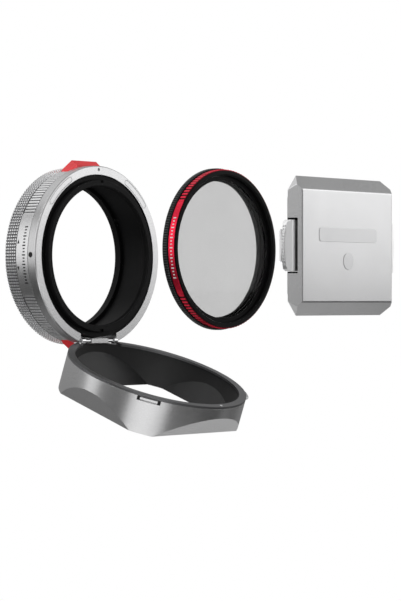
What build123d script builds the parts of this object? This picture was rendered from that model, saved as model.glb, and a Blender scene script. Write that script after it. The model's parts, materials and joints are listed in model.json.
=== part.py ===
from build123d import *
import os
from math import asin, cos, degrees, hypot, radians, sin

# Snap-on filter adapter for a fixed-lens camera, with a flip-down rectangular
# hood, a screw-in polarising filter and a pinch cap, laid out in a row along the
# optical axis.  Millimetres, +Z up.  The origin is the centre of the adapter's
# rear face, the optical axis is Y, and the front of every piece faces -Y.

os.makedirs("parts", exist_ok=True)

# ---- driving dimensions ----------------------------------------------------
RING_DEPTH = 15.6          # adapter, rear face to front face
FACE_Y = -RING_DEPTH       # plane of the adapter's front face
BODY_R = 31.9              # smooth front body and hood, outside radius
BAND_R = 31.5              # ribbed band behind the body
MOUNT_R = 25.4             # bore that goes over the camera's front ring
THREAD_BORE_R = 24.75      # crest circle of the female filter thread
SPIGOT_R = 24.3            # core of the filter's male thread
RUNNING = 0.07             # radial play of the turning barrel and filter rotor

CORE_OUT_R = 28.95         # fixed tube that carries the band and the body
CORE_IN_R = 27.75
BARREL_OUT_R = CORE_IN_R - RUNNING
BARREL_IN_R = 26.75
RIM_R = 28.74              # black thread ring, outside
BEZEL_IN_R = 28.84

SLEEVE_REAR = -0.2         # knurled sleeve, Y of its rear edge
GRIP_BACK = -0.9           # Y of the shoulder inside it, and of its front edge
GRIP_FRONT = -5.7
FLANGE_R = 29.95           # rear ring's flange, inside the sleeve's rear edge
GRIP_ROOT_R = 31.05        # floor between the studs of the knurl
BAND_BACK = -5.8
BAND_FRONT = -11.4
BODY_BACK = -11.6
BODY_CHAMFER = 0.35
BEZEL_BACK = FACE_Y + 0.9
THREAD_FACE = FACE_Y + 0.38
THREAD_BACK = -12.95
LIP_FACE = FACE_Y - 1.4    # proud inner lip of the thread ring
LIP_R = 26.8
CORE_FRONT = -12.8
MOUNT_FRONT = -2.6

GRIP_TURN = 45.0           # half of the sleeve's turn, degrees
DRIVE_PIN_R = 0.7
DRIVE_PIN_Y = -3.3
DRIVE_ANGLES = (60, 180, 300)

LATCH_TRAVEL = 1.0
LATCH_BACK = BAND_BACK - 0.35
LATCH_FRONT = BAND_FRONT + 0.25
LATCH_HALF = 9.6           # half width of the release button at its foot
LATCH_FOOT_R = 31.2        # radius the foot is rounded to
LATCH_RIDGE = (6.3, -8.36, 33.9)    # half width, Y and height of the ridge
LATCH_NOSE = (6.0, -10.78, 32.14)   # the same where the front facet begins
LATCH_TAIL = (9.4, -5.6, 29.87)     # where the rear facet meets the side facet

PIN_R = 0.6                # hood hinge pin
PIN_AHEAD = -0.2           # its axis, measured forward of the adapter's face
PIN_Z = -30.0
KNUCKLE_R = 1.12
KNUCKLE_FLAT = 0.8          # flat of the knuckle, from the pin's axis
KNUCKLE_HALF = 4.3
EAR_INNER = 7.4
EAR_OUTER = 9.1
NOTCH_HALF = 9.2           # notch in the adapter that the hood rim folds into
NOTCH_DEPTH = 3.5

HOOD_OPEN = 110.0          # degrees between the closed and the open hood
HOOD_GAP = 0.35            # closed hood to adapter face
HOOD_LENGTH = 13.4
HOOD_WALL = 1.1
LINER_WALL = 0.5
RIM_THICK = 0.8
RIM_IN_R = 29.3
END_HALF_X = 27.1          # rectangular front end of the hood, half sizes
END_HALF_Z = 23.0
FACET_SLOPE_Z = 9.1        # length of the top and bottom facets along the axis
FACET_SLOPE_X = 7.4        # length of the side facets along the axis
HOOD_BACK = HOOD_GAP
HOOD_END = HOOD_GAP + HOOD_LENGTH

FILTER_X = -13.75          # where the filter and the cap are laid out
FILTER_Z = 1.19
FILTER_REAR = 65.5         # shoulder of the filter, forward of the adapter's face
FILTER_R = 26.7
FILTER_FRONT_R = 25.8
FILTER_BAND_R = 26.05
CAP_BACK = 116.65          # back plane of the cap, forward of the adapter's face
CAP_DEPTH = 3.75
CAP_W, CAP_H = 52.0, 43.3
CAP_FACE_W, CAP_FACE_H = 47.0, 34.8
CAP_CUT_X, CAP_CUT_Z = 4.0, 4.6
CAP_SKIN = 1.1
CAP_EDGE_R = 0.8
GRIP_ARC_R = 28.4
GRIP_HALF_Z = 7.9
GRIP_SLOT_Z = 8.55
GRIP_SLOT_X = 20.6


# ---- small helpers ---------------------------------------------------------
def ahead(distance):
    """Y of a plane that lies this far in front of the adapter's face."""
    return FACE_Y - distance


def disc(radius, y_one, y_two):
    """Solid round plate on the optical axis between two Y values."""
    middle = (y_one + y_two) / 2
    return Pos(0, middle, 0) * Rot(X=90) * Cylinder(radius, abs(y_two - y_one))


def tube(r_out, r_in, y_one, y_two):
    """Plain ring on the optical axis."""
    low, high = min(y_one, y_two), max(y_one, y_two)
    return disc(r_out, low, high) - disc(r_in, low - 1, high + 1)


def turned(*outline):
    """Revolve a closed outline of (radius, y) points about the optical axis."""
    face = make_face(Polyline(*outline, close=True))
    return revolve(face, Axis.Y)


def block(x_one, x_two, y_one, y_two, z_one, z_two):
    """Box given by its corners."""
    size = (abs(x_two - x_one), abs(y_two - y_one), abs(z_two - z_one))
    centre = ((x_one + x_two) / 2, (y_one + y_two) / 2, (z_one + z_two) / 2)
    return Pos(*centre) * Box(*size)


def radial_pin(radius, r_in, r_out, angle, y):
    """Round pin along a radius; the angle runs from the top towards +X."""
    upright = Pos(0, y, (r_in + r_out) / 2) * Cylinder(radius, r_out - r_in)
    return Rot(Y=angle) * upright


def wedge(angle_one, angle_two, radius, y_one, y_two):
    """Slice of a round plate between two angles from the top."""
    middle = (angle_one + angle_two) / 2
    half = radians((angle_two - angle_one) / 2)
    reach = radius * 1.6
    across, up = reach * sin(half), reach * cos(half)
    slice_face = make_face(Polyline((0, 0), (-across, up), (across, up), close=True))
    prism = extrude(Plane.XZ * slice_face, abs(y_two - y_one))
    prism = Pos(0, max(y_one, y_two), 0) * prism
    return (Rot(Y=middle) * prism) & disc(radius, y_one, y_two)


def arc_pad(r_in, r_out, angle_one, angle_two, y_one, y_two):
    """Curved pad with rounded ends that follows the ring."""
    pad = wedge(angle_one, angle_two, r_out, y_one, y_two) - disc(r_in, y_one - 1, y_two + 1)
    centre_r = (r_in + r_out) / 2
    end_r = (r_out - r_in) / 2
    depth = abs(y_two - y_one)
    for angle in (angle_one, angle_two):
        place = Rot(Y=angle) * Pos(0, (y_one + y_two) / 2, centre_r) * Rot(X=90)
        pad += place * Cylinder(end_r, depth)
    return pad


def cut_beyond(solid, point, normal):
    """Remove what lies on the side of a plane that its normal points to."""
    plane = Plane(origin=point, z_dir=normal)
    return solid - plane * Pos(0, 0, 60) * Box(300, 300, 120)


def turn_open(solid):
    """Swing a piece of the closed hood down to where it rests."""
    return solid.rotate(Axis((0, ahead(PIN_AHEAD), PIN_Z), (1, 0, 0)), HOOD_OPEN)


def at_filter(solid):
    return Pos(FILTER_X, 0, FILTER_Z) * solid


def group(*shapes):
    """One node made of several separate solids."""
    return Compound([solid for shape in shapes for solid in shape.solids()])


def save(name, shape):
    """Write one node as plain solids in their final place."""
    solids = shape.solids()
    export_step(solids[0] if len(solids) == 1 else Compound(solids), f"parts/{name}.step")


# ---- adapter: fixed pieces -------------------------------------------------
def mount_ring():
    """Rear ring with the plain bore and the flange that keeps the sleeve on."""
    flange_front = GRIP_BACK + 0.1
    ring = turned((MOUNT_R, 0), (FLANGE_R - 0.3, 0), (FLANGE_R, -0.3), (FLANGE_R, flange_front),
                  (CORE_IN_R, flange_front), (CORE_IN_R, MOUNT_FRONT), (MOUNT_R, MOUNT_FRONT))
    for angle in REAR_SCREW_ANGLES:
        ring -= screw_space(angle, 0.02)
    return ring


REAR_SCREW_ANGLES = (45, 135, 225, 315)
REAR_SCREW_R = 28.35
SCREW_HEAD_R = 0.75
SCREW_SHANK_R = 0.4


def screw_space(angle, play):
    """Countersunk screw of the rear ring, grown by a little play."""
    head = Pos(0, -0.25, REAR_SCREW_R) * Rot(X=90) * Cylinder(SCREW_HEAD_R + play, 0.5)
    shank = Pos(0, -1.2, REAR_SCREW_R) * Rot(X=90) * Cylinder(SCREW_SHANK_R + play, 2.0)
    return Rot(Y=angle) * (head + shank)


def rear_screws():
    """Four small slotted screws that hold the mount ring to the core tube."""
    slot = Pos(0, 0, REAR_SCREW_R) * Box(1.1, 0.4, 0.2)
    return group(*[screw_space(angle, 0) - Rot(Y=angle) * slot for angle in REAR_SCREW_ANGLES])


def core_tube():
    """Fixed tube between the turning barrel and the outer shells."""
    flange_front = GRIP_BACK + 0.1
    core = tube(CORE_OUT_R, CORE_IN_R, flange_front, CORE_FRONT)
    slot_half = GRIP_TURN + degrees(asin((DRIVE_PIN_R + 0.2) / CORE_IN_R))
    for angle in DRIVE_ANGLES:
        slot = wedge(angle - slot_half, angle + slot_half, CORE_OUT_R + 1,
                     DRIVE_PIN_Y - DRIVE_PIN_R - 0.15, DRIVE_PIN_Y + DRIVE_PIN_R + 0.15)
        core -= slot - disc(CORE_IN_R - 1, -20, 0)
    for angle in REAR_SCREW_ANGLES:
        core -= screw_space(angle, 0.02)
    for x in LATCH_PIN_X:
        core -= guide_pin(x, 0.02, 1)
        core -= guide_pin(x, 0.02, -1)
    return core


LATCH_PIN_X = (-3.5, 3.5)
LATCH_PIN_Y = (LATCH_BACK + LATCH_FRONT) / 2
LATCH_PIN_R = 0.5
LATCH_PIN_FOOT, LATCH_PIN_TOP = 28.0, LATCH_FOOT_R


def guide_pin(x, play, side):
    """Upright pin that guides a release button; side is 1 on top, -1 below."""
    middle = (LATCH_PIN_FOOT + LATCH_PIN_TOP) / 2
    length = LATCH_PIN_TOP - LATCH_PIN_FOOT
    return Pos(x, LATCH_PIN_Y, side * middle) * Cylinder(LATCH_PIN_R + play, length)


def latch_guide_pins():
    return group(*[guide_pin(x, 0, side) for x in LATCH_PIN_X for side in (1, -1)])


def latch_window(side):
    """Opening in the band for a release button."""
    half = LATCH_HALF + 0.15
    floor = CORE_OUT_R * cos(asin(half / CORE_OUT_R)) - 1.0
    return block(-half, half, LATCH_FRONT - 0.1, LATCH_BACK + 0.1, side * floor, side * 40)


def latch_band():
    """Shell of the ribbed band, with a window above and below."""
    band = tube(BAND_R - 0.25, CORE_OUT_R, BAND_BACK, BAND_FRONT)
    return band - latch_window(1) - latch_window(-1)


def front_body():
    """Smooth front shell behind the face ring."""
    body = turned((CORE_OUT_R, BODY_BACK), (BODY_R - BODY_CHAMFER, BODY_BACK),
                  (BODY_R, BODY_BACK - BODY_CHAMFER), (BODY_R, BEZEL_BACK), (CORE_OUT_R, BEZEL_BACK))
    body -= block(-NOTCH_HALF, NOTCH_HALF, ahead(1), ahead(-NOTCH_DEPTH), -CORE_OUT_R + 1.6, -40)
    body -= Rot(Y=-90) * Pos(0, DOT_Y, BODY_R) * Cylinder(DOT_R, 1.2)
    for side in (1, -1):
        body -= magnet(side, 0.05)
        body -= ear_screw(side, 0.02)
    return body


DOT_R = 0.95
DOT_Y = -13.25


def index_dot():
    """Paint-filled alignment dot in the side of the body."""
    dot = Rot(Y=-90) * Pos(0, DOT_Y, BODY_R) * Cylinder(DOT_R, 1.2)
    return dot & disc(BODY_R, BODY_BACK, BEZEL_BACK)


INSERT_MIDDLE = 40.5
INSERT_HALF = 11.6
INSERT_IN_R, INSERT_OUT_R = 29.35, 31.05
MAGNET_IN_R, MAGNET_OUT_R = 29.45, 30.95
MAGNET_THICK = 1.5
CATCH_RECESS_Z, CATCH_RECESS_R = 30.6, 0.55


def front_bezel():
    """Face ring with the two slot-shaped pockets and the hood catch notch."""
    chamfer = 0.3
    bezel = turned((BEZEL_IN_R, BEZEL_BACK), (BODY_R, BEZEL_BACK), (BODY_R, FACE_Y + chamfer),
                   (BODY_R - chamfer, FACE_Y), (BEZEL_IN_R, FACE_Y))
    bezel -= block(-NOTCH_HALF, NOTCH_HALF, ahead(1), ahead(-NOTCH_DEPTH), -20, -40)
    for side in (1, -1):
        bezel -= arc_pad(INSERT_IN_R - 0.12, INSERT_OUT_R + 0.12, side * INSERT_MIDDLE - INSERT_HALF,
                         side * INSERT_MIDDLE + INSERT_HALF, ahead(1), BEZEL_BACK + 1)
    bezel -= Pos(0, FACE_Y, CATCH_RECESS_Z) * Rot(X=90) * Cylinder(CATCH_RECESS_R, 1.0)
    return bezel


def face_inserts():
    """Two curved cover pieces over the magnets, flush in the face ring."""
    inserts = []
    for side in (1, -1):
        inserts.append(arc_pad(INSERT_IN_R, INSERT_OUT_R, side * INSERT_MIDDLE - INSERT_HALF,
                               side * INSERT_MIDDLE + INSERT_HALF, FACE_Y + 0.02, BEZEL_BACK))
    return group(*inserts)


def magnet(side, play):
    """Curved magnet on one side of the face, or its pocket."""
    half = INSERT_HALF + 0.9
    return arc_pad(MAGNET_IN_R - play, MAGNET_OUT_R + play, side * INSERT_MIDDLE - half,
                   side * INSERT_MIDDLE + half, BEZEL_BACK, BEZEL_BACK + MAGNET_THICK + play)


def holding_magnets():
    """Curved magnets behind the face inserts."""
    return group(magnet(1, 0), magnet(-1, 0))


EAR_SCREW_X = (EAR_INNER + EAR_OUTER) / 2
EAR_SCREW_R = 0.35
EAR_SCREW_BACK = BODY_BACK - 0.1
EAR_SCREW_FRONT = ahead(-NOTCH_DEPTH) - 0.9


def ear_screw(side, play):
    """Screw that runs back through an ear into the body."""
    place = Pos(side * EAR_SCREW_X, (EAR_SCREW_BACK + EAR_SCREW_FRONT) / 2, PIN_Z - 0.1)
    return place * Rot(X=90) * Cylinder(EAR_SCREW_R + play, EAR_SCREW_BACK - EAR_SCREW_FRONT)


def ear_screws():
    return group(ear_screw(1, 0), ear_screw(-1, 0))


def hinge_ears():
    """Two lugs in the notch that hold the ends of the hinge pin."""
    ears = []
    for side in (1, -1):
        barrel = Pos(side * EAR_SCREW_X, ahead(PIN_AHEAD), PIN_Z)
        barrel *= Rot(Y=90) * Cylinder(KNUCKLE_R, EAR_OUTER - EAR_INNER)
        foot = block(side * EAR_INNER, side * EAR_OUTER, ahead(PIN_AHEAD), ahead(-NOTCH_DEPTH),
                     PIN_Z - 0.75, PIN_Z + KNUCKLE_R)
        ear = barrel + foot
        ear -= Pos(0, ahead(PIN_AHEAD), PIN_Z) * Rot(Y=90) * Cylinder(PIN_R, 40)
        ear -= ear_screw(side, 0)
        ears.append(ear)
    return group(*ears)


def hinge_pin():
    """Steel pin through both ears and the hood's knuckle."""
    return Pos(0, ahead(PIN_AHEAD), PIN_Z) * Rot(Y=90) * Cylinder(PIN_R, 2 * EAR_OUTER)


def latch_spring(side):
    """Bowed leaf that lifts a release button off the core tube."""
    foot_x, foot_z, crown, leaf = 6.0, 28.55, 29.9, 0.15
    upper = ThreePointArc((-foot_x, foot_z + leaf), (0, crown), (foot_x, foot_z + leaf))
    lower = ThreePointArc((-foot_x, foot_z), (0, crown - leaf), (foot_x, foot_z))
    left_end = Line((-foot_x, foot_z), (-foot_x, foot_z + leaf))
    right_end = Line((foot_x, foot_z), (foot_x, foot_z + leaf))
    profile = make_face(upper + lower + left_end + right_end)
    strip = extrude(Plane.XZ * profile, 1.1)
    strip = Pos(0, LATCH_BACK - 0.3, 0) * strip
    return strip if side > 0 else Rot(Y=180) * strip


# ---- adapter: turning pieces ----------------------------------------------
def grip_sleeve():
    """Knurled sleeve, with holes for the drive pins."""
    sleeve = turned((FLANGE_R + 0.1, SLEEVE_REAR), (GRIP_ROOT_R, SLEEVE_REAR), (GRIP_ROOT_R, GRIP_FRONT),
                    (CORE_OUT_R + 0.1, GRIP_FRONT), (CORE_OUT_R + 0.1, GRIP_BACK),
                    (FLANGE_R + 0.1, GRIP_BACK))
    for angle in DRIVE_ANGLES:
        sleeve -= radial_pin(DRIVE_PIN_R, 28, 33, angle, DRIVE_PIN_Y)
    return sleeve


def inner_barrel():
    """Turning tube that joins the drive pins to the thread ring."""
    barrel = tube(BARREL_OUT_R, BARREL_IN_R, MOUNT_FRONT - 0.15, THREAD_BACK)
    for angle in DRIVE_ANGLES:
        barrel -= radial_pin(DRIVE_PIN_R, 25, 29, angle, DRIVE_PIN_Y)
    return barrel


def drive_pins():
    return group(*[radial_pin(DRIVE_PIN_R, 26.9, 30.9, angle, DRIVE_PIN_Y) for angle in DRIVE_ANGLES])


def thread_ring():
    """Black front ring with a proud lip, which the filter screws into."""
    groove, groove_depth, edge = 0.2, 0.35, 0.2
    bore_back = FACE_Y + 0.7
    ring = turned((BARREL_IN_R, THREAD_BACK), (RIM_R, THREAD_BACK), (RIM_R, THREAD_FACE),
                  (LIP_R + groove, THREAD_FACE), (LIP_R + groove, THREAD_FACE + groove_depth),
                  (LIP_R, THREAD_FACE + groove_depth), (LIP_R, LIP_FACE + edge / 2),
                  (LIP_R - edge / 2, LIP_FACE), (THREAD_BORE_R + edge, LIP_FACE),
                  (THREAD_BORE_R, LIP_FACE + edge), (THREAD_BORE_R, bore_back))
    notch_half, notch_depth = 0.95, 0.7
    for side in (1, -1):
        ring -= block(-notch_half, notch_half, LIP_FACE - 1, LIP_FACE + notch_depth,
                      side * (LIP_R - 0.9), side * (LIP_R + groove))
    return ring


# ---- release buttons -------------------------------------------------------
def latch_button(side):
    """Red release button: a hipped roof on a foot that fills its window."""
    ridge, nose, tail = (Vector(-half, y, z) for half, y, z in (LATCH_RIDGE, LATCH_NOSE, LATCH_TAIL))
    blank = block(-LATCH_HALF, LATCH_HALF, LATCH_FRONT, LATCH_BACK, 24, LATCH_RIDGE[2] + 1)
    flank = (ridge - nose).cross(tail - nose)
    roof = cut_beyond(blank, nose, flank)
    roof = cut_beyond(roof, (-nose.X, nose.Y, nose.Z), (-flank.X, flank.Y, flank.Z))
    roof = cut_beyond(roof, nose, (0, nose.Z - ridge.Z, ridge.Y - nose.Y))
    roof = cut_beyond(roof, nose, (0, -4, 1))
    roof = cut_beyond(roof, ridge, (0, ridge.Z - tail.Z, tail.Y - ridge.Y))
    button = roof + (blank & disc(LATCH_FOOT_R, 0, -20))
    button -= disc(CORE_OUT_R + 1.15, 0, -20)
    play, hole_top = 0.06, LATCH_PIN_TOP + LATCH_TRAVEL + 0.1
    for x in LATCH_PIN_X:
        hole = Cylinder(LATCH_PIN_R + play, hole_top - LATCH_PIN_FOOT)
        button -= Pos(x, LATCH_PIN_Y, (hole_top + LATCH_PIN_FOOT) / 2) * hole
    return button if side > 0 else Rot(Y=180) * button


# ---- hood ------------------------------------------------------------------
def hood_form(inset, back, front):
    """Cylinder whose front is pared to a rectangle by four sloping planes."""
    form = disc(BODY_R - inset, ahead(back), ahead(front))
    sides = ((END_HALF_X, FACET_SLOPE_X, (1, 0)), (END_HALF_X, FACET_SLOPE_X, (-1, 0)),
             (END_HALF_Z, FACET_SLOPE_Z, (0, 1)), (END_HALF_Z, FACET_SLOPE_Z, (0, -1)))
    for half, run, direction in sides:
        rise = BODY_R - half
        long_side = hypot(rise, run)
        out, forward = run / long_side, rise / long_side
        reach = half - inset / out
        point = (direction[0] * reach, ahead(HOOD_END), direction[1] * reach)
        form = cut_beyond(form, point, (direction[0] * out, -forward, direction[1] * out))
    return form


def hinge_relief():
    """Room in the hood for the ears, the pin and the knuckle."""
    half = NOTCH_HALF + 0.75
    return block(-half, half, ahead(-3), ahead(HOOD_BACK + RIM_THICK), -25.5, -40)


LEAF_TOP, LEAF_BOTTOM = PIN_Z - 0.82, PIN_Z - 1.3


def leaf_block():
    """Flat leaf let into the hood's wall, which carries the knuckle."""
    return block(-KNUCKLE_HALF, KNUCKLE_HALF, ahead(PIN_AHEAD), ahead(4.2), LEAF_BOTTOM, LEAF_TOP)


LUG_MIDDLE = 51.3           # finger lugs, degrees from the top
LUG_HALF = 5.3
LUG_NOTCH = 2.0             # dark gap at each end of a lug
LUG_R = 33.0
LUG_BACK = HOOD_BACK + RIM_THICK
LUG_FRONT = LUG_BACK + 1.5


def lug_pocket(side):
    """Slot through the hood's wall that a lug stands in."""
    half = LUG_HALF + LUG_NOTCH
    middle = side * LUG_MIDDLE
    slot = wedge(middle - half, middle + half, BODY_R + 1, ahead(LUG_BACK - 1), ahead(LUG_FRONT))
    return slot - disc(BODY_R - HOOD_WALL, 0, -40)


def hood_shell():
    shell = hood_form(0, HOOD_BACK + RIM_THICK, HOOD_END) - hood_form(HOOD_WALL, HOOD_BACK - 1, HOOD_END + 1)
    shell -= leaf_block()
    for side in (1, -1):
        shell -= lug_pocket(side)
    for x in KNUCKLE_SCREW_X:
        shell -= knuckle_screw(x)
    return shell


def hood_liner():
    """Matt black lining that keeps stray light down."""
    inset = HOOD_WALL + LINER_WALL
    liner = hood_form(HOOD_WALL, HOOD_BACK + RIM_THICK, HOOD_END - 0.25)
    liner -= hood_form(inset, HOOD_BACK - 1, HOOD_END + 1)
    return liner


def hood_rim():
    """Flat ring that closes against the adapter's face."""
    rim = tube(BODY_R, RIM_IN_R, ahead(HOOD_BACK), ahead(HOOD_BACK + RIM_THICK))
    return rim - hinge_relief() - ball_pin()


def finger_lugs():
    """Two short bars that stand proud of the hood, for a fingernail."""
    profile = turned((BODY_R - HOOD_WALL, ahead(LUG_BACK)), (LUG_R, ahead(LUG_BACK)),
                     (LUG_R, ahead(LUG_BACK + 0.7)), (BODY_R + 0.2, ahead(LUG_FRONT)),
                     (BODY_R - HOOD_WALL, ahead(LUG_FRONT)))
    lugs = []
    for side in (1, -1):
        middle = side * LUG_MIDDLE
        lugs.append(profile & wedge(middle - LUG_HALF, middle + LUG_HALF, LUG_R + 1, ahead(0), ahead(4)))
    return group(*lugs)


def ball_pin():
    """Domed catch pin that stands a little proud of the rim."""
    head_z, shank_r, dome_r = CATCH_RECESS_Z, 0.5, 0.45
    shank = Pos(0, ahead(HOOD_BACK + 0.35), head_z) * Rot(X=90) * Cylinder(shank_r, 0.7)
    dome = Pos(0, ahead(HOOD_BACK + 0.2), head_z) * Sphere(dome_r)
    dome &= Pos(0, ahead(HOOD_BACK - 0.1), head_z) * Box(2, 0.4, 2)
    return shank + dome


def hinge_knuckle():
    """Barrel on the pin with a leaf that screws to the hood."""
    knuckle = Pos(0, ahead(PIN_AHEAD), PIN_Z) * Rot(Y=90) * Cylinder(KNUCKLE_R, 2 * KNUCKLE_HALF)
    flat_y, flat_z = -cos(radians(HOOD_OPEN)), sin(radians(HOOD_OPEN))
    on_flat = (0, ahead(PIN_AHEAD) + KNUCKLE_FLAT * flat_y, PIN_Z + KNUCKLE_FLAT * flat_z)
    knuckle = cut_beyond(knuckle, on_flat, (0, flat_y, flat_z))
    knuckle += leaf_block()
    knuckle -= Pos(0, ahead(PIN_AHEAD), PIN_Z) * Rot(Y=90) * Cylinder(PIN_R + 0.04, 20)
    for x in KNUCKLE_SCREW_X:
        knuckle -= knuckle_screw(x)
    return knuckle


KNUCKLE_SCREW_X = (-2.6, 2.6)
KNUCKLE_SCREW_S = 2.9


def knuckle_screw(x):
    """Flat-headed screw through the leaf into the hood's wall."""
    head_thick, end = 0.18, LEAF_BOTTOM - 0.3
    head = Pos(x, ahead(KNUCKLE_SCREW_S), LEAF_TOP - head_thick / 2) * Cylinder(0.62, head_thick)
    shank = Pos(x, ahead(KNUCKLE_SCREW_S), (LEAF_TOP + end) / 2) * Cylinder(0.35, LEAF_TOP - end)
    return head + shank


def knuckle_screws():
    return group(*[knuckle_screw(x) for x in KNUCKLE_SCREW_X])


# ---- filter ----------------------------------------------------------------
def filter_mount_ring():
    """Rear ring with the male spigot and the neck that the front turns on."""
    s = FILTER_REAR
    ring = turned((22.5, ahead(s - 0.6)), (23.3, ahead(s - 2.0)), (SPIGOT_R - 0.2, ahead(s - 2.0)),
                  (SPIGOT_R, ahead(s - 1.8)), (SPIGOT_R, ahead(s)), (FILTER_R - 0.4, ahead(s)),
                  (FILTER_R - 0.25, ahead(s + 0.15)), (FILTER_R - 0.25, ahead(s + 2.25)),
                  (24.95, ahead(s + 2.25)), (24.95, ahead(s + 3.4)), (24.4, ahead(s + 3.4)),
                  (24.4, ahead(s + 1.3)), (23.4, ahead(s + 1.3)), (23.4, ahead(s + 0.1)),
                  (22.5, ahead(s + 0.1)))
    return at_filter(ring)


def filter_glass_disc(radius, back, front):
    return at_filter(disc(radius, ahead(FILTER_REAR + back), ahead(FILTER_REAR + front)))


def filter_ring(r_out, r_in, back, front):
    return at_filter(tube(r_out, r_in, ahead(FILTER_REAR + back), ahead(FILTER_REAR + front)))


def filter_front_ring():
    """Turning front with the polariser's seat and a plain front bore."""
    s = FILTER_REAR
    ring = turned((22.7, ahead(s + 1.5)), (24.3, ahead(s + 1.5)), (24.3, ahead(s + 3.6)),
                  (25.0, ahead(s + 3.6)), (25.0, ahead(s + 4.8)), (FILTER_FRONT_R, ahead(s + 4.8)),
                  (FILTER_FRONT_R, ahead(s + 4.95)), (FILTER_FRONT_R - 0.15, ahead(s + 5.1)),
                  (24.6, ahead(s + 5.1)), (24.4, ahead(s + 4.9)), (24.4, ahead(s + 3.7)),
                  (23.2, ahead(s + 3.7)), (23.2, ahead(s + 1.8)), (22.7, ahead(s + 1.8)))
    return at_filter(ring)


def filter_band():
    """Red anodised ring around the turning front."""
    s = FILTER_REAR
    return at_filter(tube(FILTER_BAND_R, 25.02, ahead(s + 2.4), ahead(s + 4.8)))


# ---- cap -------------------------------------------------------------------
def cap_outline(width, height, cut_x, cut_z, y):
    """Rectangle with cut corners, as a wire face in a plane across the axis."""
    w, h = width / 2, height / 2
    points = [(-w, -h + cut_z), (-w, h - cut_z), (-w + cut_x, h), (w - cut_x, h),
              (w, h - cut_z), (w, -h + cut_z), (w - cut_x, -h), (-w + cut_x, -h)]
    return Pos(0, y, 0) * (Plane.XZ * make_face(Polyline(*points, close=True)))


def cap_form(inset, front):
    """Bevelled block: a plain prism pared by eight planes up to its face."""
    back_w, back_h = CAP_W - 2 * inset, CAP_H - 2 * inset
    form = extrude(cap_outline(back_w, back_h, CAP_CUT_X, CAP_CUT_Z, ahead(CAP_BACK)), front - CAP_BACK)
    y_back = ahead(CAP_BACK)
    side_run = (CAP_W - CAP_FACE_W) / 2
    top_run = (CAP_H - CAP_FACE_H) / 2
    for x_sign in (1, -1):
        form = cut_beyond(form, (x_sign * back_w / 2, y_back, 0), (x_sign * CAP_DEPTH, -side_run, 0))
    for z_sign in (1, -1):
        form = cut_beyond(form, (0, y_back, z_sign * back_h / 2), (0, -top_run, z_sign * CAP_DEPTH))
    return form


def cap_pocket(side, half_z):
    """Side opening that a grip slides in."""
    return block(side * GRIP_SLOT_X, side * 40, ahead(CAP_BACK - 5), ahead(CAP_BACK + 2.55),
                 -half_z, half_z)


def cap_shell():
    """Front shell of the cap, hollow behind."""
    front = CAP_BACK + CAP_DEPTH
    shell = cap_form(0, front)
    shell = fillet(shell.faces().sort_by(Axis.Y)[0].edges(), CAP_EDGE_R)
    shell -= cap_form(CAP_SKIN, front - CAP_SKIN)
    for side in (1, -1):
        shell -= cap_pocket(side, GRIP_SLOT_Z)
        for x in CAP_SCREW_X:
            shell += cap_boss(x, side) & cap_form(0, front - 0.5)
            shell -= cap_screw(x, side, 0.02)
    return at_filter(shell)


CAP_SCREW_X = (-16.0, 16.0)
CAP_SCREW_Z = 16.5
PLATE_THICK = 0.9
LIP_HALF_X, LIP_HALF_Z = 23.6, 19.4
LIP_DEPTH = 2.0
LIP_WALL = 1.0


def cap_boss(x, z_sign):
    place = Pos(x, ahead(CAP_BACK + 1.9), z_sign * CAP_SCREW_Z)
    return place * Rot(X=90) * Cylinder(1.3, 2.0)


def cap_screw(x, z_sign, play):
    head = Pos(x, ahead(CAP_BACK + 0.2), z_sign * CAP_SCREW_Z) * Rot(X=90) * Cylinder(1.0 + play, 0.4)
    shank = Pos(x, ahead(CAP_BACK + 1.3), z_sign * CAP_SCREW_Z) * Rot(X=90) * Cylinder(0.45 + play, 2.6)
    return head + shank


def cap_screws():
    screws = []
    for x in CAP_SCREW_X:
        for z_sign in (1, -1):
            slot = Pos(x, ahead(CAP_BACK), z_sign * CAP_SCREW_Z) * Box(1.4, 0.3, 0.25)
            screws.append(cap_screw(x, z_sign, 0) - slot)
    return at_filter(group(*screws))


def cap_back_plate():
    """Rear plate with the lip that enters the hood."""
    inset = CAP_SKIN
    plate = cap_form(inset, CAP_BACK + PLATE_THICK)
    lip_w, lip_h = 2 * LIP_HALF_X, 2 * LIP_HALF_Z
    outside = cap_outline(lip_w, lip_h, 3.6, CAP_CUT_Z, ahead(CAP_BACK - LIP_DEPTH))
    inside = cap_outline(lip_w - 2 * LIP_WALL, lip_h - 2 * LIP_WALL, 3.6, CAP_CUT_Z,
                         ahead(CAP_BACK - LIP_DEPTH - 1))
    plate += extrude(outside, LIP_DEPTH) - extrude(inside, LIP_DEPTH + 2)
    for side in (1, -1):
        plate -= cap_pocket(side, GRIP_HALF_Z + 0.1)
        for x in CAP_SCREW_X:
            plate -= cap_screw(x, side, 0.02)
    return at_filter(plate)


def cap_badge():
    """Blank raised plate and blank raised disc on the face."""
    y_face = ahead(CAP_BACK + CAP_DEPTH)
    proud = 0.12
    plate = extrude(RectangleRounded(30, 4.4, 1.2), proud / 2, both=True)
    bar = Pos(0, y_face - proud / 2, 3.6) * Rot(X=90) * plate
    spot = Pos(0, y_face - proud / 2, -4.6) * Rot(X=90) * Cylinder(2.6, proud)
    return at_filter(group(bar, spot))


def tag_disc():
    """Thin contactless tag glued inside the shell."""
    return at_filter(disc(9.0, ahead(CAP_BACK + 2.2), ahead(CAP_BACK + CAP_DEPTH - CAP_SKIN)))


GRIP_BACK_S = CAP_BACK - 0.65
GRIP_FRONT_S = CAP_BACK + 2.0
FLANGE_THICK = 0.45
SQUEEZE = 1.5
CLAW_IN_X, CLAW_OUT_X = 23.9, 25.1
HOOK_OUT_X = 25.9           # reaches behind the mouth of the hood
HOOK_BACK_S = CAP_BACK - 3.4
HOOK_THICK = 0.65
CLAW_HALF_Z = 4.6


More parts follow.
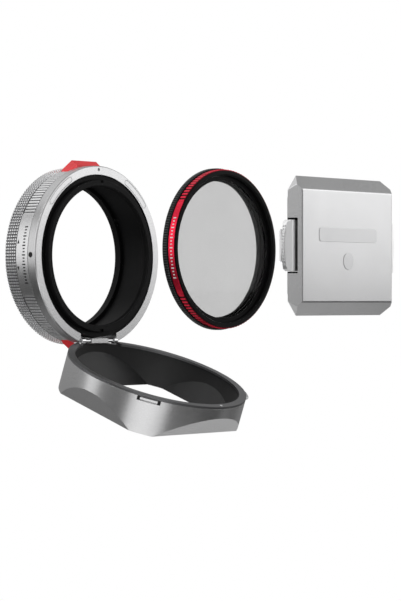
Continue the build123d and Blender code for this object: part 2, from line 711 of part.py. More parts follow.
def cap_grip(side):
    """Finger grip with an arched outer face and a slide plate inside."""
    front, back = ahead(GRIP_FRONT_S), ahead(GRIP_BACK_S)
    pad = disc(GRIP_ARC_R, front, back) & block(0, 40, front, back, -GRIP_HALF_Z, GRIP_HALF_Z)
    pad &= block(GRIP_SLOT_X + SQUEEZE + 0.2, 40, front, back, -20, 20)
    for z_sign in (1, -1):
        pad = cut_beyond(pad, (26.4, 0, z_sign * GRIP_HALF_Z), (1, 0, z_sign * 1.6))
    pad = cut_beyond(pad, (GRIP_ARC_R - 0.8, ahead(CAP_BACK + 0.9), 0), (0.72, -0.69, 0))
    plate = block(12.2, GRIP_SLOT_X + SQUEEZE + 1.0, ahead(CAP_BACK + 1.05), ahead(CAP_BACK + 1.95),
                  -4.5, 4.5)
    plate -= block(13.6, 19.0, ahead(CAP_BACK), ahead(CAP_BACK + 4), -1.2, 1.2)
    flange = block(26.9, GRIP_ARC_R, back, ahead(GRIP_BACK_S - FLANGE_THICK), -5.0, 5.0)
    grip = pad + plate + flange
    grip = grip if side > 0 else Rot(Y=180) * grip
    return at_filter(grip)


def cap_claw(side):
    """Hooked claw behind the grip that catches inside the hood's mouth."""
    claw = block(CLAW_IN_X, CLAW_OUT_X, ahead(GRIP_BACK_S), ahead(HOOK_BACK_S), -CLAW_HALF_Z, CLAW_HALF_Z)
    claw += block(CLAW_OUT_X - 0.2, HOOK_OUT_X, ahead(HOOK_BACK_S + HOOK_THICK), ahead(HOOK_BACK_S),
                  -CLAW_HALF_Z, CLAW_HALF_Z)
    claw = claw if side > 0 else Rot(Y=180) * claw
    return at_filter(claw)


SPRING_IN_X, SPRING_OUT_X = 14.7, 19.0


def cap_spring_posts():
    """Fixed posts that the grip springs push against."""
    foot, top = ahead(CAP_BACK + PLATE_THICK), ahead(CAP_BACK + 2.2)
    return at_filter(group(*[block(side * (SPRING_IN_X - 1), side * SPRING_IN_X, foot, top, -0.9, 0.9)
                             for side in (1, -1)]))


def cap_spring(side):
    """Small coil, drawn as a stack of joined turns along X."""
    coil_r, wire_r, turns = 0.42, 0.13, 7
    pitch = (SPRING_OUT_X - SPRING_IN_X - 2 * wire_r) / (turns - 1)
    rings = None
    middle_s = CAP_BACK + 1.6
    for index in range(turns):
        x = SPRING_IN_X + wire_r + index * pitch
        ring = Pos(side * x, ahead(middle_s), 0) * Rot(Y=90) * Torus(coil_r, wire_r)
        rings = ring if rings is None else rings + ring
    strip, strip_half = middle_s + coil_r, 0.08
    spine = block(side * SPRING_IN_X, side * SPRING_OUT_X, ahead(strip - strip_half),
                  ahead(strip + strip_half), -strip_half, strip_half)
    return at_filter(rings + spine)


# ---- write every node ------------------------------------------------------
def main():
    save("mount_ring", mount_ring())
    save("rear_screws", rear_screws())
    save("core_tube", core_tube())
    save("latch_band", latch_band())
    save("latch_guide_pins", latch_guide_pins())
    save("front_body", front_body())
    save("front_bezel", front_bezel())
    save("face_inserts", face_inserts())
    save("holding_magnets", holding_magnets())
    save("index_dot", index_dot())
    save("hinge_ears", hinge_ears())
    save("ear_screws", ear_screws())
    save("hinge_pin", hinge_pin())
    save("grip_sleeve", grip_sleeve())
    save("inner_barrel", inner_barrel())
    save("drive_pins", drive_pins())
    save("thread_ring", thread_ring())
    for name, side in (("top", 1), ("bottom", -1)):
        save(f"latch_button_{name}", latch_button(side))
        save(f"latch_spring_{name}", latch_spring(side))

    save("hood_rim", turn_open(hood_rim()))
    save("hood_shell", turn_open(hood_shell()))
    save("hood_liner", turn_open(hood_liner()))
    save("finger_lugs", turn_open(finger_lugs()))
    save("ball_pin", turn_open(ball_pin()))
    save("hinge_knuckle", turn_open(hinge_knuckle()))
    save("knuckle_screws", turn_open(knuckle_screws()))

    save("filter_mount_ring", filter_mount_ring())
    save("mist_glass", filter_glass_disc(23.35, 0.1, 1.1))
    save("mist_retainer", filter_ring(23.38, 22.9, 1.1, 1.3))
    save("filter_front_ring", filter_front_ring())
    save("filter_band", filter_band())
    save("polariser_glass", filter_glass_disc(23.15, 1.8, 3.1))
    save("glass_retainer", filter_ring(23.18, 22.75, 3.1, 3.5))

    save("cap_shell", cap_shell())
    save("cap_back_plate", cap_back_plate())
    save("cap_badge", cap_badge())
    save("tag_disc", tag_disc())
    save("cap_screws", cap_screws())
    save("cap_spring_posts", cap_spring_posts())
    for name, side in (("left", -1), ("right", 1)):
        save(f"cap_grip_{name}", cap_grip(side))
        save(f"cap_claw_{name}", cap_claw(side))
        save(f"cap_spring_{name}", cap_spring(side))


main()
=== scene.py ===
import json
from math import cos, pi, radians, sin

import bmesh
import bpy
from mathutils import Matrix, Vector


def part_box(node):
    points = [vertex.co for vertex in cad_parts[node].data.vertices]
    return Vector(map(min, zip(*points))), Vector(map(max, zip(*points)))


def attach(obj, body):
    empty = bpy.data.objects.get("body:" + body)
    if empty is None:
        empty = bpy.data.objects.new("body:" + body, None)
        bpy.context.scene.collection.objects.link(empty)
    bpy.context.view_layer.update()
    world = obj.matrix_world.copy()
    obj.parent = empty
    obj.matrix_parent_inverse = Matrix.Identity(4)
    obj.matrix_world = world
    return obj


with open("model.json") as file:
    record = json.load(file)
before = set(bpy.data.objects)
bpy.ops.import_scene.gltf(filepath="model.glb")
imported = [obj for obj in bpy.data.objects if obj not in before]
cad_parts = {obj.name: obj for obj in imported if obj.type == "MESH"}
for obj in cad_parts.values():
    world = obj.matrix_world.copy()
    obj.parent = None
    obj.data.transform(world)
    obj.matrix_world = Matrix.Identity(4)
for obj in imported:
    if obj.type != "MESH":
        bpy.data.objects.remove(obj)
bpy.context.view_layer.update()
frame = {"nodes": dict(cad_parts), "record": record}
MM = 0.001                          # metres in a millimetre


# ---- the frame's own places ------------------------------------------------
def low(node):
    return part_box(node)[0]


def high(node):
    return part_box(node)[1]


def outer_radius(node):
    """Half the width of a round node that is centred on its own axis."""
    return (high(node).x - low(node).x) / 2


def middle(node):
    return (low(node) + high(node)) / 2


# ---- materials -------------------------------------------------------------
class Shader:
    """A Principled material and the few nodes that give it its detail."""

    RAMP_START = 0.3                # the part of the noise's range that is used
    RAMP_END = 0.7
    BEVEL_SAMPLES = 4

    def __init__(self, name, colour, roughness, metallic=0.0):
        self.material = bpy.data.materials.new(name)
        self.material.use_nodes = True
        self.tree = self.material.node_tree
        self.principled = self.tree.nodes["Principled BSDF"]
        self.coords = self.tree.nodes.new("ShaderNodeTexCoord").outputs["Object"]
        self.colour = colour
        self.roughness = roughness
        self.set("Base Color", (*colour, 1))
        self.set("Roughness", roughness)
        self.set("Metallic", metallic)

    def set(self, socket, value):
        self.principled.inputs[socket].default_value = value

    def link(self, source, target):
        self.tree.links.new(source, target)

    def noise(self, scale, detail, stretch=None):
        """Noise over the object's own coordinates; scale is in features per metre."""
        source = self.coords
        if stretch is not None:
            mapping = self.tree.nodes.new("ShaderNodeMapping")
            mapping.inputs["Scale"].default_value = stretch
            self.link(source, mapping.inputs["Vector"])
            source = mapping.outputs["Vector"]
        node = self.tree.nodes.new("ShaderNodeTexNoise")
        node.inputs["Scale"].default_value = scale
        node.inputs["Detail"].default_value = detail
        self.link(source, node.inputs["Vector"])
        return node.outputs["Fac"]

    def ramp(self, source, low_value, high_value):
        node = self.tree.nodes.new("ShaderNodeMapRange")
        node.inputs["From Min"].default_value = self.RAMP_START
        node.inputs["From Max"].default_value = self.RAMP_END
        node.inputs["To Min"].default_value = low_value
        node.inputs["To Max"].default_value = high_value
        self.link(source, node.inputs["Value"])
        return node.outputs["Result"]

    def vary_gloss(self, source, spread):
        """Move the roughness up and down by the spread."""
        result = self.ramp(source, self.roughness - spread, self.roughness + spread)
        self.link(result, self.principled.inputs["Roughness"])

    def vary_colour(self, source, darker, lighter):
        """Blend between a darker and a lighter version of the colour."""
        node = self.tree.nodes.new("ShaderNodeMix")
        node.data_type = "RGBA"
        node.inputs["A"].default_value = (*[min(1, c * darker) for c in self.colour], 1)
        node.inputs["B"].default_value = (*[min(1, c * lighter) for c in self.colour], 1)
        self.link(self.ramp(source, 0.0, 1.0), node.inputs["Factor"])
        self.link(node.outputs["Result"], self.principled.inputs["Base Color"])

    def relief(self, source, height, edge=0.0):
        """Bump of a height in metres, over edges rounded by a radius in metres."""
        bump = self.tree.nodes.new("ShaderNodeBump")
        bump.inputs["Strength"].default_value = 1.0
        bump.inputs["Distance"].default_value = height
        self.link(source, bump.inputs["Height"])
        if edge > 0:
            bevel = self.tree.nodes.new("ShaderNodeBevel")
            bevel.samples = self.BEVEL_SAMPLES
            bevel.inputs["Radius"].default_value = edge
            self.link(bevel.outputs["Normal"], bump.inputs["Normal"])
        self.link(bump.outputs["Normal"], self.principled.inputs["Normal"])


def blasted_metal(name, colour, roughness):
    """Bead-blasted and anodised aluminium: fine grain and a faint cloudiness."""
    shader = Shader(name, colour, roughness, metallic=1.0)
    grain = shader.noise(scale=9000, detail=2.0)
    shader.vary_colour(shader.noise(scale=60, detail=3.0), darker=0.96, lighter=1.03)
    shader.vary_gloss(grain, spread=0.05)
    shader.relief(grain, height=0.004 * MM, edge=0.12 * MM)
    return shader.material


def polished_steel(name, colour, roughness):
    """Bright metal with fine scratches along X."""
    shader = Shader(name, colour, roughness, metallic=1.0)
    scratch = shader.noise(scale=900, detail=4.0, stretch=(1, 8, 8))
    shader.vary_colour(scratch, darker=0.93, lighter=1.02)
    shader.vary_gloss(scratch, spread=0.04)
    shader.relief(scratch, height=0.002 * MM, edge=0.1 * MM)
    return shader.material


def anodised_black(name, colour, roughness, gloss=0.12):
    """Black anodised aluminium: a soft gloss with a fine powdery grain."""
    shader = Shader(name, colour, roughness)
    shader.set("Specular IOR Level", gloss)
    grain = shader.noise(scale=7000, detail=2.0)
    shader.vary_colour(shader.noise(scale=90, detail=2.0), darker=0.8, lighter=1.2)
    shader.vary_gloss(grain, spread=0.06)
    shader.relief(grain, height=0.004 * MM, edge=0.12 * MM)
    return shader.material


def flocked_black(name, colour):
    """Matte, light-absorbing lining with a soft short nap."""
    shader = Shader(name, colour, roughness=0.5)
    shader.set("Specular IOR Level", 0.5)
    shader.set("Sheen Weight", 0.12)
    shader.set("Sheen Roughness", 0.5)
    nap = shader.noise(scale=5000, detail=4.0)
    shader.vary_colour(shader.noise(scale=120, detail=3.0), darker=0.8, lighter=1.25)
    shader.vary_gloss(nap, spread=0.08)
    shader.relief(nap, height=0.01 * MM, edge=0.1 * MM)
    return shader.material


def lacquer(name, colour):
    """Satin paint with a faint orange peel."""
    shader = Shader(name, colour, roughness=0.42)
    shader.set("Specular IOR Level", 0.3)
    shader.set("Coat Weight", 0.08)
    shader.set("Coat Roughness", 0.2)
    peel = shader.noise(scale=2500, detail=2.0)
    shader.vary_colour(shader.noise(scale=200, detail=3.0), darker=0.92, lighter=1.06)
    shader.vary_gloss(peel, spread=0.05)
    shader.relief(peel, height=0.003 * MM, edge=0.1 * MM)
    return shader.material


def dyed_metal(name, colour):
    """Coloured anodised aluminium."""
    shader = Shader(name, colour, roughness=0.3, metallic=0.85)
    grain = shader.noise(scale=8000, detail=2.0)
    shader.vary_colour(shader.noise(scale=150, detail=2.0), darker=0.92, lighter=1.06)
    shader.vary_gloss(grain, spread=0.05)
    shader.relief(grain, height=0.003 * MM, edge=0.06 * MM)
    return shader.material


def coated_glass(name, colour):
    """Flat tinted glass; the low IOR stands for its anti-reflection coating."""
    shader = Shader(name, colour, roughness=0.02)
    shader.set("Transmission Weight", 1.0)
    shader.set("IOR", 1.15)
    shader.vary_colour(shader.noise(scale=80, detail=2.0), darker=0.99, lighter=1.01)
    return shader.material


def ink(name, colour, roughness):
    """Flat ink or film with a fine grain."""
    shader = Shader(name, colour, roughness)
    grain = shader.noise(scale=6000, detail=2.0)
    shader.vary_colour(grain, darker=0.85, lighter=1.15)
    shader.relief(grain, height=0.003 * MM)
    return shader.material


def paper(name, colour):
    """Matte backdrop paper, almost even in tone."""
    shader = Shader(name, colour, roughness=0.8)
    shader.vary_colour(shader.noise(scale=40, detail=2.0), darker=0.99, lighter=1.01)
    return shader.material


SILVER = blasted_metal("silver_anodised", (0.68, 0.68, 0.685), 0.28)
BODY_SILVER = blasted_metal("body_anodised", (0.6, 0.6, 0.605), 0.3)
LABEL_SILVER = blasted_metal("label_anodised", (0.77, 0.77, 0.775), 0.3)
# painted shade: a dark copy of the silver finish for the floor between the studs and between the
# ribs
SHADED_GROOVE = blasted_metal("groove_painted_shade", (0.17, 0.17, 0.175), 0.45)
STUD_METAL = blasted_metal("stud_anodised", (0.92, 0.92, 0.925), 0.3)
# painted shade: a darker copy of the silver finish for the hood's rim, standing in for the dark
# surroundings it reflects
SHADED_RIM = blasted_metal("rim_painted_shade", (0.2, 0.2, 0.205), 0.42)
# painted shade: a dark copy of the red finish for the floor between the filter's ribs
SHADED_RED_GROOVE = dyed_metal("red_groove_painted_shade", (0.07, 0.002, 0.005))
DEEP_BLACK = anodised_black("deep_black", (0.005, 0.005, 0.0055), 0.5)
KNURL_BLACK = anodised_black("knurl_black", (0.016, 0.018, 0.018), 0.3, gloss=0.7)
CLEAR_GLASS = coated_glass("clear_glass", (0.97, 0.97, 0.97))
WHITE_INK = ink("white_ink", (0.85, 0.85, 0.85), 0.5)
FINISHES = {
    "silver_metal": SILVER,
    "grip_metal": blasted_metal("grip_anodised", (0.93, 0.93, 0.935), 0.34),
    "badge_metal": blasted_metal("badge_anodised", (0.68, 0.68, 0.685), 0.32),
    "bright_steel": polished_steel("bright_steel", (0.8, 0.8, 0.81), 0.16),
    "spring_steel": polished_steel("spring_steel", (0.5, 0.5, 0.51), 0.3),
    "magnet": polished_steel("nickel_plate", (0.55, 0.54, 0.52), 0.25),
    "black_anodised": anodised_black("black_anodised", (0.009, 0.009, 0.0095), 0.5),
    "matte_black_lining": flocked_black("black_lining", (0.013, 0.013, 0.0135)),
    "red_paint": lacquer("red_lacquer", (1.0, 0.04, 0.05)),
    "red_anodised": dyed_metal("red_anodised", (1.0, 0.025, 0.07)),
    "grey_glass": coated_glass("grey_glass", (0.555, 0.555, 0.555)),
    "black_ink": ink("black_ink", (0.008, 0.008, 0.008), 0.6),
    "tag_film": ink("tag_film", (0.8, 0.8, 0.76), 0.45),
}
NODE_FINISHES = {                   # nodes that don't look like the rest of their slot; the groove floors and the hood's rim are darker copies that carry painted shade
    "mist_glass": CLEAR_GLASS,
    "front_body": BODY_SILVER,
    "grip_sleeve": SHADED_GROOVE,
    "latch_band": SHADED_GROOVE,
    "hood_rim": SHADED_RIM,
    "filter_band": SHADED_RED_GROOVE,
    "filter_front_ring": DEEP_BLACK,
}


def paint_cad_nodes():
    slots = {part["node"]: part["material_slot"] for part in frame["record"]["subparts"]}
    for name, node in frame["nodes"].items():
        material = NODE_FINISHES.get(name, FINISHES[slots[name]])
        node.data.materials.clear()
        node.data.materials.append(material)


# ---- mesh helpers ----------------------------------------------------------
SHARP_ANGLE = radians(35)
EMBED = 0.05 * MM                   # how far added relief starts inside its wall


class Pieces:
    """Collects faces of one piece, then makes its object."""

    def __init__(self):
        self.points = []
        self.faces = []

    def frustum(self, foot, top):
        """Closed block between two rings of four points."""
        base = len(self.points)
        self.points += foot + top
        self.faces.append(tuple(base + i for i in (3, 2, 1, 0)))
        self.faces.append(tuple(base + 4 + i for i in range(4)))
        for i in range(4):
            j = (i + 1) % 4
            self.faces.append((base + i, base + j, base + 4 + j, base + 4 + i))

    def curved_plate(self, spot, angles, y_back, y_front, r_in, r_out, steps):
        """Closed plate that follows a cylinder between two angles."""
        base = len(self.points)
        start, end = angles
        for index in range(steps + 1):
            angle = start + (end - start) * index / steps
            for radius, y in ((r_in, y_back), (r_in, y_front), (r_out, y_front), (r_out, y_back)):
                self.points.append(spot(angle, radius, y))
        for index in range(steps):
            a, b = base + 4 * index, base + 4 * index + 4
            for i in range(4):
                j = (i + 1) % 4
                self.faces.append((a + i, b + i, b + j, a + j))
        self.faces.append(tuple(base + i for i in range(4)))
        last = base + 4 * steps
        self.faces.append(tuple(last + i for i in (3, 2, 1, 0)))

    def lathe(self, spot, outline, steps):
        """Closed ring: the outline of (radius, y) points turned all the way."""
        base, count = len(self.points), len(outline)
        for index in range(steps):
            angle = 2 * pi * index / steps
            self.points += [spot(angle, radius, y) for radius, y in outline]
        for index in range(steps):
            a = base + count * index
            b = base + count * ((index + 1) % steps)
            for i in range(count):
                j = (i + 1) % count
                self.faces.append((a + i, a + j, b + j, b + i))

    def build(self, name, body, slot, material, smooth=False):
        mesh = bpy.data.meshes.new(name)
        mesh.from_pydata([Vector(p) for p in self.points], [], self.faces)
        mesh.validate()
        mesh.materials.append(material)
        outward_normals(mesh)
        if smooth:
            mesh.shade_smooth()
            mesh.set_sharp_from_angle(angle=SHARP_ANGLE)
        piece = bpy.data.objects.new(name, mesh)
        bpy.context.scene.collection.objects.link(piece)
        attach(piece, body)


def outward_normals(mesh):
    work = bmesh.new()
    work.from_mesh(mesh)
    bmesh.ops.recalc_face_normals(work, faces=work.faces)
    work.to_mesh(mesh)
    work.free()


def round_axis(centre_x=0.0, centre_z=0.0):
    """Point on a cylinder along Y: the angle runs from the top towards +X."""
    def spot(angle, radius, y):
        return (centre_x + radius * sin(angle), y, centre_z + radius * cos(angle))
    return spot


def axis_of(node):
    """The cylinder that a round node is centred on."""
    centre = middle(node)
    return round_axis(centre.x, centre.z)


def stud(piece, spot, angle, y, half_angle, half_y, r_foot, r_top, taper=1.0):
    """One raised stud; taper is the size of its top over the size of its foot."""
    corners = ((-1, -1), (1, -1), (1, 1), (-1, 1))
    foot = [spot(angle + a * half_angle, r_foot, y + b * half_y) for a, b in corners]
    top = [spot(angle + a * half_angle * taper, r_top, y + b * half_y * taper) for a, b in corners]
    piece.frustum(foot, top)


def near(angle, middle_angle, half):
    """True where an angle is within half of the middle, whichever way round."""
    gap = (angle - middle_angle + pi) % (2 * pi) - pi
    return abs(gap) < half


# ---- marks and labels, on the adapter and on the filter --------------------
LABEL_MIDDLE = radians(270)         # both smooth sectors face -X
LABEL_INSET = 0.02 * MM             # from the groove's ends
INK_HEIGHT = 0.01 * MM
TICKS = range(-9, 10)
LONG_TICK_EVERY = 3
TICK_HALF_ANGLE = radians(0.42)


def label_plate(piece, spot, node, half, r_top, steps):
    """Smooth sector over a ribbed node."""
    angles = (LABEL_MIDDLE - half, LABEL_MIDDLE + half)
    piece.curved_plate(spot, angles, high(node).y - LABEL_INSET, low(node).y + LABEL_INSET,
                       outer_radius(node) - EMBED, r_top, steps)


def tick_row(piece, spot, y, step, long_half, short_half, r_foot, r_top):
    """Row of plain ticks across a label, every third one long."""
    for index in TICKS:
        half_y = long_half if index % LONG_TICK_EVERY == 0 else short_half
        stud(piece, spot, LABEL_MIDDLE + step * index, y, TICK_HALF_ANGLE, half_y, r_foot, r_top)


# ---- adapter ---------------------------------------------------------------
BAND_R = 31.5 * MM                  # over the studs and ribs
BAND_LABEL_HALF = radians(27)
BAND_LABEL_STEPS = 60

STUD_ROWS = 5
STUD_COLUMNS = 180
STUD_WIDTH = 0.72                   # of the pitch round the sleeve
STUD_HALF_LENGTH = 0.33             # of the pitch along it
STUD_TAPER = 0.7

RIB_COUNT = 160
RIB_HALF_WIDTH = 0.32               # of the pitch round the band
RIB_END_GAP = 0.25 * MM
RIB_TAPER = 0.93
WINDOW_MARGIN = 0.5 * MM            # clear of each button's side

TICK_FROM_FRONT = 1.9 * MM
TICK_STEP = radians(2.0)
LONG_TICK = 0.75 * MM
SHORT_TICK = 0.48 * MM
ARROW_FROM_BACK = 0.9 * MM
ARROW_START = radians(7.5)
ARROW_STEP = radians(0.5)
ARROW_SLICES = 5
ARROW_SLICE_HALF = radians(0.26)
ARROW_HALF_WIDTH = 0.5 * MM


def grip_knurl():
    """Rows of square studs around the turning sleeve."""
    spot, piece = round_axis(), Pieces()
    back, front = high("grip_sleeve").y, low("grip_sleeve").y
    root = outer_radius("grip_sleeve")
    pitch = (back - front) / STUD_ROWS
    for column in range(STUD_COLUMNS):
        angle = 2 * pi * column / STUD_COLUMNS
        for row in range(STUD_ROWS):
            y = back - pitch * (row + 0.5)
            stud(piece, spot, angle, y, pi / STUD_COLUMNS * STUD_WIDTH, pitch * STUD_HALF_LENGTH,
                 root - EMBED, BAND_R, STUD_TAPER)
    piece.build("grip_knurl", "grip", "silver_metal", STUD_METAL)


def band_ribs():
    """Long ribs along the band, clear of the buttons and of the label."""
    spot, piece = round_axis(), Pieces()
    back, front = high("latch_band").y, low("latch_band").y
    root = outer_radius("latch_band")
    window_half = (high("latch_button_top").x + WINDOW_MARGIN) / root
    gaps = ((0.0, window_half), (pi, window_half), (LABEL_MIDDLE, BAND_LABEL_HALF))
    step = 2 * pi / RIB_COUNT
    for index in range(RIB_COUNT):
        angle = step * index
        if any(near(angle, centre, half) for centre, half in gaps):
            continue
        stud(piece, spot, angle, (back + front) / 2, step * RIB_HALF_WIDTH,
             (back - front) / 2 - RIB_END_GAP, root - EMBED, BAND_R, RIB_TAPER)
    piece.build("band_ribs", "adapter", "silver_metal", STUD_METAL)


def band_label():
    """Smooth sector of the band that carries the marks."""
    piece = Pieces()
    label_plate(piece, round_axis(), "latch_band", BAND_LABEL_HALF, BAND_R, BAND_LABEL_STEPS)
    piece.build("band_label", "adapter", "silver_metal", LABEL_SILVER, smooth=True)


def band_marks():
    """Plain scale ticks and two arrowheads on the smooth sector."""
    spot, piece = round_axis(), Pieces()
    back, front = high("latch_band").y, low("latch_band").y
    r_foot, r_top = BAND_R - EMBED, BAND_R + INK_HEIGHT
    tick_row(piece, spot, front + TICK_FROM_FRONT, TICK_STEP, LONG_TICK, SHORT_TICK, r_foot, r_top)
    for side in (-1, 1):
        for index in range(ARROW_SLICES):
            angle = LABEL_MIDDLE + side * (ARROW_START + ARROW_STEP * index)
            half_y = ARROW_HALF_WIDTH * (1 - index / ARROW_SLICES)
            stud(piece, spot, angle, back - ARROW_FROM_BACK, ARROW_SLICE_HALF, half_y, r_foot, r_top)
    piece.build("band_marks", "adapter", "black_ink", FINISHES["black_ink"])


# ---- threads ---------------------------------------------------------------
THREAD_STEPS = 180
RIDGE_HALF = 0.42                   # these three are in pitches
RIDGE_FIRST = 0.7
RIDGE_LAST = 0.4


def thread_ridges(name, body, node, r_wall, r_crest, start, length, pitch):
    """Ridges of an inside thread, as closed rings; start is measured from the node's front."""
    spot, piece = axis_of(node), Pieces()
    front = low(node).y + start
    y = front + pitch * RIDGE_FIRST
    while y < front + length - pitch * RIDGE_LAST:
        half = pitch * RIDGE_HALF
        outline = [(r_wall + EMBED, y - half), (r_crest, y), (r_wall + EMBED, y + half)]
        piece.lathe(spot, outline, THREAD_STEPS)
        y += pitch
    piece.build(name, body, "black_anodised", FINISHES["black_anodised"], smooth=True)


# ---- filter ----------------------------------------------------------------
SPIGOT_LENGTH = 2.0 * MM            # behind the shoulder of the filter's rear ring
KNURL_LENGTH = 2.25 * MM            # from the shoulder to the front of that ring
KNURL_COUNT = 200
KNURL_WIDTH = 0.62                  # of the pitch
KNURL_HALF_LENGTH = 0.95 * MM
KNURL_HEIGHT = 0.25 * MM
KNURL_TAPER = 0.6

FILTER_RIB_COUNT = 120
FILTER_RIB_WIDTH = 0.5              # of the pitch
FILTER_RIB_END_GAP = 0.06 * MM
FILTER_RIB_HEIGHT = 0.18 * MM
FILTER_RIB_TAPER = 0.9
FILTER_LABEL_HALF = radians(35)
FILTER_LABEL_STEPS = 80

FILTER_TICK_STEP = radians(2.4)
FILTER_LONG_TICK = 0.6 * MM
FILTER_SHORT_TICK = 0.34 * MM


def filter_knurl():
    """Fine ridges around the filter's rear ring."""
    spot, piece = axis_of("filter_mount_ring"), Pieces()
    root = outer_radius("filter_mount_ring")
    y = high("filter_mount_ring").y - SPIGOT_LENGTH - KNURL_LENGTH / 2
    for index in range(KNURL_COUNT):
        stud(piece, spot, 2 * pi * index / KNURL_COUNT, y, pi / KNURL_COUNT * KNURL_WIDTH,
             KNURL_HALF_LENGTH, root - EMBED, root + KNURL_HEIGHT, KNURL_TAPER)
    piece.build("filter_knurl", "filter_base", "black_anodised", KNURL_BLACK)


def filter_ribs():
    """Ribs around the red band, with a smooth sector for the marks."""
    spot, piece = axis_of("filter_mount_ring"), Pieces()
    back, front = high("filter_band").y, low("filter_band").y
    root = outer_radius("filter_band")
    top = root + FILTER_RIB_HEIGHT
    for index in range(FILTER_RIB_COUNT):
        angle = 2 * pi * index / FILTER_RIB_COUNT
        if near(angle, LABEL_MIDDLE, FILTER_LABEL_HALF):
            continue
        stud(piece, spot, angle, (back + front) / 2, pi / FILTER_RIB_COUNT * FILTER_RIB_WIDTH,
             (back - front) / 2 - FILTER_RIB_END_GAP, root - EMBED, top, FILTER_RIB_TAPER)
    label_plate(piece, spot, "filter_band", FILTER_LABEL_HALF, top, FILTER_LABEL_STEPS)
    piece.build("filter_ribs", "filter_rotor", "red_anodised", FINISHES["red_anodised"], smooth=True)


def filter_marks():
    """Plain white ticks on the smooth sector of the red band."""
    piece = Pieces()
    r_top = outer_radius("filter_band") + FILTER_RIB_HEIGHT + INK_HEIGHT
    tick_row(piece, axis_of("filter_mount_ring"), middle("filter_band").y, FILTER_TICK_STEP,
             FILTER_LONG_TICK, FILTER_SHORT_TICK, r_top - EMBED, r_top)
    piece.build("filter_marks", "filter_rotor", "silver_metal", WHITE_INK)


# ---- cap -------------------------------------------------------------------
CAP_KNURL_COLUMNS = 2
CAP_KNURL_ROWS = 13
CAP_KNURL_PITCH = 1.0 * MM          # up the grip
CAP_KNURL_HALF_RISE = 0.36          # of the pitch up the grip
CAP_KNURL_HALF_DEPTH = 0.38         # of the pitch along it
CAP_KNURL_HEIGHT = 0.25 * MM
CAP_KNURL_TAPER = 0.7
CAP_KNURL_FRONT = 1.2 * MM          # plain margins of the grip
CAP_KNURL_BACK = 0.5 * MM


def cap_knurl(name, side):
    """Rows of small studs on the arched face of a grip; side is -1 or 1."""
    node = f"cap_grip_{name}"
    centre = middle("cap_shell")
    spot, piece = axis_of("cap_shell"), Pieces()
    arc = high(node).x - centre.x if side > 0 else centre.x - low(node).x
    front = low(node).y + CAP_KNURL_FRONT
    pitch_y = (high(node).y - CAP_KNURL_BACK - front) / CAP_KNURL_COLUMNS
    half_angle = CAP_KNURL_PITCH * CAP_KNURL_HALF_RISE / arc
    for row in range(CAP_KNURL_ROWS):
        rise = (row - (CAP_KNURL_ROWS - 1) / 2) * CAP_KNURL_PITCH
        angle = side * (pi / 2 - rise / arc)
        for column in range(CAP_KNURL_COLUMNS):
            y = front + pitch_y * (column + 0.5)
            stud(piece, spot, angle, y, half_angle, pitch_y * CAP_KNURL_HALF_DEPTH,
                 arc - EMBED, arc + CAP_KNURL_HEIGHT, CAP_KNURL_TAPER)
    piece.build(f"cap_knurl_{name}", f"cap_{name}", "grip_metal", FINISHES["grip_metal"])


# ---- set, lights and camera ------------------------------------------------
FLOOR_CENTRE = (-0.01, -0.07, -0.30)
FLOOR_R = 0.28
FLOOR_SIDES = 96

AIM = Vector((-0.01, -0.06, 0.0))   # middle of the row
SOFTBOXES = (                       # place, size, and the brightness a mirror would show
    ("front_right", (0.55, -0.455, 0.21), (0.46, 0.46), 1.16),
    ("left_back", (-0.60, 0.46, 0.18), (0.30, 0.64), 0.92),
    ("top", (0.05, 0.25, 0.58), (0.7, 0.6), 0.45),
    ("high_left", (-0.434, -0.038, 0.424), (0.3, 0.3), 3.4),
    ("back_low", (-0.037, 0.454, -0.309), (0.42, 0.3), 0.15),
    ("left", (-0.55, -0.33, 0.09), (0.16, 0.2), 0.7),
    ("front", (-0.42, -0.60, 0.05), (0.14, 0.2), 0.7),
    ("front_low", (-0.457, -0.34, -0.308), (0.48, 0.22), 1.2),
    ("right_low", (0.46, 0.16, -0.30), (0.3, 0.26), 0.4),
    ("cap_low", (0.31, -0.15, -0.29), (0.18, 0.14), 0.4),
)

DOME_LOW, DOME_LOW_LIGHT = -0.5, 0.05       # height on the dome, and its brightness there
DOME_HIGH, DOME_HIGH_LIGHT = 0.3, 0.4

CAMERA_PLACE = (-0.5920, -0.5693, -0.01575)
CAMERA_TURN = radians(-49.46)
CAMERA_LENS_MM = 137.05
SENSOR_MM = 36.0
CLIP_START = 0.01


def floor():
    """Plain pale floor, well below the pieces, which float as laid out."""
    bpy.ops.mesh.primitive_circle_add(vertices=FLOOR_SIDES, radius=FLOOR_R, fill_type="NGON",
                                      location=FLOOR_CENTRE)
    plane = bpy.context.object
    plane.name = "floor"
    plane.data.materials.append(paper("floor_paper", (0.86, 0.86, 0.86)))


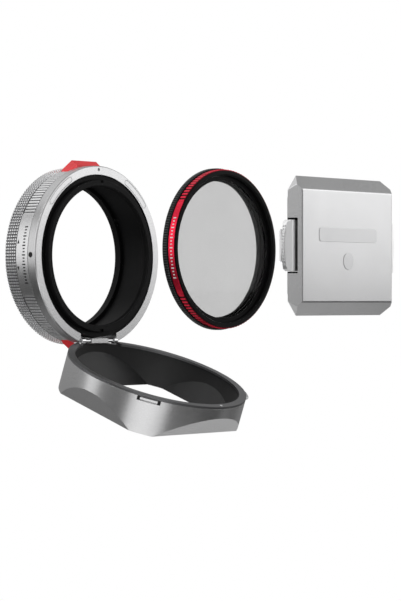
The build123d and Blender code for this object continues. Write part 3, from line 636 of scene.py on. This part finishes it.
def sky():
    """White to the camera and through glass; a dim dome in the reflections."""
    world = bpy.data.worlds.new("sky")
    bpy.context.scene.world = world
    world.use_nodes = True
    nodes, links = world.node_tree.nodes, world.node_tree.links
    nodes.clear()
    path = nodes.new("ShaderNodeLightPath")
    seen = nodes.new("ShaderNodeMath")
    seen.operation = "MAXIMUM"
    links.new(path.outputs["Is Camera Ray"], seen.inputs[0])
    links.new(path.outputs["Is Transmission Ray"], seen.inputs[1])
    direction = nodes.new("ShaderNodeSeparateXYZ")
    links.new(nodes.new("ShaderNodeTexCoord").outputs["Generated"], direction.inputs["Vector"])
    dome = nodes.new("ShaderNodeMapRange")
    dome.inputs["From Min"].default_value = DOME_LOW
    dome.inputs["From Max"].default_value = DOME_HIGH
    dome.inputs["To Min"].default_value = DOME_LOW_LIGHT
    dome.inputs["To Max"].default_value = DOME_HIGH_LIGHT
    links.new(direction.outputs["Z"], dome.inputs["Value"])
    white, soft = (nodes.new("ShaderNodeBackground") for _ in range(2))
    for background in (white, soft):
        background.inputs["Color"].default_value = (1, 1, 1, 1)
    links.new(dome.outputs["Result"], soft.inputs["Strength"])
    mix = nodes.new("ShaderNodeMixShader")
    links.new(seen.outputs[0], mix.inputs["Fac"])
    links.new(soft.outputs[0], mix.inputs[1])
    links.new(white.outputs[0], mix.inputs[2])
    links.new(mix.outputs[0], nodes.new("ShaderNodeOutputWorld").inputs["Surface"])


def softbox(name, place, size, radiance):
    """Rectangular light aimed at the row."""
    light = bpy.data.lights.new(name, "AREA")
    light.shape = "RECTANGLE"
    light.size, light.size_y = size
    light.energy = radiance * pi * size[0] * size[1]
    lamp = bpy.data.objects.new(name, light)
    bpy.context.scene.collection.objects.link(lamp)
    lamp.location = place
    lamp.rotation_euler = (AIM - Vector(place)).to_track_quat("-Z", "Y").to_euler()


def camera():
    """Level view from the front left."""
    data = bpy.data.cameras.new("camera")
    data.lens = CAMERA_LENS_MM
    data.sensor_width = SENSOR_MM
    data.clip_start = CLIP_START
    viewer = bpy.data.objects.new("camera", data)
    bpy.context.scene.collection.objects.link(viewer)
    viewer.location = CAMERA_PLACE
    viewer.rotation_euler = (radians(90), 0, CAMERA_TURN)
    bpy.context.scene.camera = viewer


paint_cad_nodes()
grip_knurl()
band_ribs()
band_label()
band_marks()
thread_ridges("thread_ridges", "grip", "thread_ring", r_wall=24.75 * MM, r_crest=24.56 * MM,
              start=0.4 * MM, length=1.7 * MM, pitch=0.5 * MM)
filter_knurl()
filter_ribs()
filter_marks()
thread_ridges("filter_front_thread", "filter_rotor", "filter_front_ring", r_wall=24.4 * MM,
              r_crest=24.2 * MM, start=0.0, length=1.3 * MM, pitch=0.75 * MM)
cap_knurl("left", -1)
cap_knurl("right", 1)
floor()
sky()
for settings in SOFTBOXES:
    softbox(*settings)
camera()
bpy.context.scene.view_settings.view_transform = "Standard"
